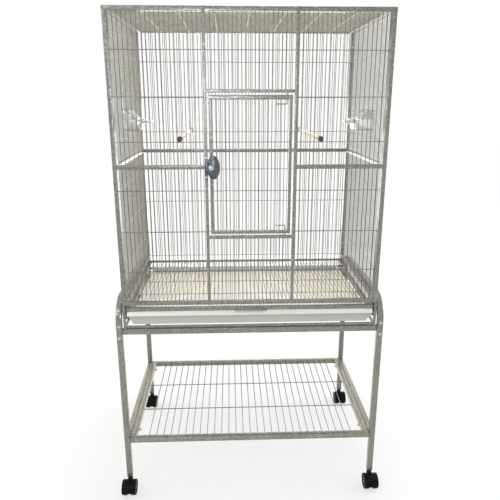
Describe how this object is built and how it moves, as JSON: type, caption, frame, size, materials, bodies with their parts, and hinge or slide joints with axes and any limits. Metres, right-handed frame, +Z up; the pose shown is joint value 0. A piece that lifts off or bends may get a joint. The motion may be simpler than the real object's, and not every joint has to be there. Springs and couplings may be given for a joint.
{
  "type": "bird cage on stand",
  "caption": "Tall wire flight cage with a front door, feed cups, perches, pull-out grate and tray, on a rolling tube stand with a wire shelf.",
  "frame": {"origin": "on the floor under the middle of the whole object's outline", "axes": "+Z up, -Y towards the front with the door, +X to the right seen from the front"},
  "size_m": [0.8872, 0.5972, 1.563],
  "materials": {
    "powder_coat": "hammered powder coat, satin",
    "tray_coat": "smooth powder coat, satin",
    "latch_metal": "dark plated, satin",
    "bright_metal": "polished plating",
    "zinc_steel": "zinc plated",
    "perch_wood": "bare, sanded",
    "cap_plastic": "matt moulded",
    "cup_plastic": "clear moulded plastic",
    "caster_plastic": "moulded, slightly glossy"
  },
  "bodies": {
    "cage_and_stand": {"front_left_bay": "powder_coat", "front_right_bay": "powder_coat", "front_over_door": "powder_coat", "front_under_door": "powder_coat", "back_panel": "powder_coat", "left_panel": "powder_coat", "right_panel": "powder_coat", "roof_panel": "powder_coat", "panel_bolts": "zinc_steel", "base_left": "powder_coat", "base_right": "powder_coat", "base_front_rail": "powder_coat", "base_back": "powder_coat", "tray_runners": "powder_coat", "grate_runners": "powder_coat", "keeper": "latch_metal", "keeper_screws": "zinc_steel", "perch_left": "perch_wood", "perch_right": "perch_wood", "perch_caps": "cap_plastic", "arch_left": "powder_coat", "arch_right": "powder_coat", "leg_front_left": "powder_coat", "leg_front_right": "powder_coat", "leg_back_left": "powder_coat", "leg_back_right": "powder_coat", "leg_sleeves": "zinc_steel", "leg_screws": "bright_metal", "stand_front_rail": "powder_coat", "stand_back_rail": "powder_coat", "stand_side_rails": "powder_coat", "shelf": "powder_coat", "shelf_bolts": "zinc_steel", "caster_stems": "caster_plastic"},
    "door": {"door": "powder_coat", "hinge_pin_top": "powder_coat", "hinge_pin_bottom": "powder_coat"},
    "latch": {"latch_knob": "latch_metal", "latch_nut": "bright_metal", "latch_spindle": "zinc_steel", "latch_tongue": "latch_metal"},
    "grate": {"floor_grate": "powder_coat", "grate_pull": "powder_coat"},
    "tray_drawer": {"tray": "tray_coat"},
    "left_cup": {"cup_left": "cup_plastic", "cup_hood_left": "cup_plastic"},
    "right_cup": {"cup_right": "cup_plastic", "cup_hood_right": "cup_plastic"},
    "caster_fl": {"caster_fl_housing": "caster_plastic", "caster_fl_axle": "zinc_steel"},
    "wheels_fl": {"caster_fl_wheels": "caster_plastic"},
    "caster_fr": {"caster_fr_housing": "caster_plastic", "caster_fr_axle": "zinc_steel"},
    "wheels_fr": {"caster_fr_wheels": "caster_plastic"},
    "caster_bl": {"caster_bl_housing": "caster_plastic", "caster_bl_axle": "zinc_steel"},
    "wheels_bl": {"caster_bl_wheels": "caster_plastic"},
    "caster_br": {"caster_br_housing": "caster_plastic", "caster_br_axle": "zinc_steel"},
    "wheels_br": {"caster_br_wheels": "caster_plastic"}
  },
  "joints": [
    {"name": "door_hinge", "type": "hinge", "parent": "cage_and_stand", "child": "door", "pos_m": [0.105, -0.2423, 1.12565], "axis": [0, 0, 1], "range_deg": [0, 120]},
    {"name": "latch_turn", "type": "hinge", "parent": "door", "child": "latch", "pos_m": [-0.11625, -0.2476, 1.1245], "axis": [0, -1, 0], "range_deg": [0, 90]},
    {"name": "grate_slide", "type": "slide", "parent": "cage_and_stand", "child": "grate", "axis": [0, -1, 0], "range_m": [0, 0.45]},
    {"name": "tray_slide", "type": "slide", "parent": "cage_and_stand", "child": "tray_drawer", "axis": [0, -1, 0], "range_m": [0, 0.45]},
    {"name": "left_cup_lift", "type": "slide", "parent": "cage_and_stand", "child": "left_cup", "axis": [0, 0, 1], "range_m": [0, 0.03]},
    {"name": "right_cup_lift", "type": "slide", "parent": "cage_and_stand", "child": "right_cup", "axis": [0, 0, 1], "range_m": [0, 0.03]},
    {"name": "swivel_fl", "type": "hinge", "parent": "cage_and_stand", "child": "caster_fl", "pos_m": [-0.42, -0.2491, 0.045], "axis": [0, 0, 1], "continuous": true},
    {"name": "roll_fl", "type": "hinge", "parent": "caster_fl", "child": "wheels_fl", "pos_m": [-0.42, -0.2711, 0.025], "axis": [1, 0, 0], "continuous": true},
    {"name": "swivel_fr", "type": "hinge", "parent": "cage_and_stand", "child": "caster_fr", "pos_m": [0.42, -0.2491, 0.045], "axis": [0, 0, 1], "continuous": true},
    {"name": "roll_fr", "type": "hinge", "parent": "caster_fr", "child": "wheels_fr", "pos_m": [0.42, -0.2711, 0.025], "axis": [1, 0, 0], "continuous": true},
    {"name": "swivel_bl", "type": "hinge", "parent": "cage_and_stand", "child": "caster_bl", "pos_m": [-0.42, 0.2869, 0.045], "axis": [0, 0, 1], "continuous": true},
    {"name": "roll_bl", "type": "hinge", "parent": "caster_bl", "child": "wheels_bl", "pos_m": [-0.42, 0.2649, 0.025], "axis": [1, 0, 0], "continuous": true},
    {"name": "swivel_br", "type": "hinge", "parent": "cage_and_stand", "child": "caster_br", "pos_m": [0.42, 0.2869, 0.045], "axis": [0, 0, 1], "continuous": true},
    {"name": "roll_br", "type": "hinge", "parent": "caster_br", "child": "wheels_br", "pos_m": [0.42, 0.2649, 0.025], "axis": [1, 0, 0], "continuous": true}
  ]
}
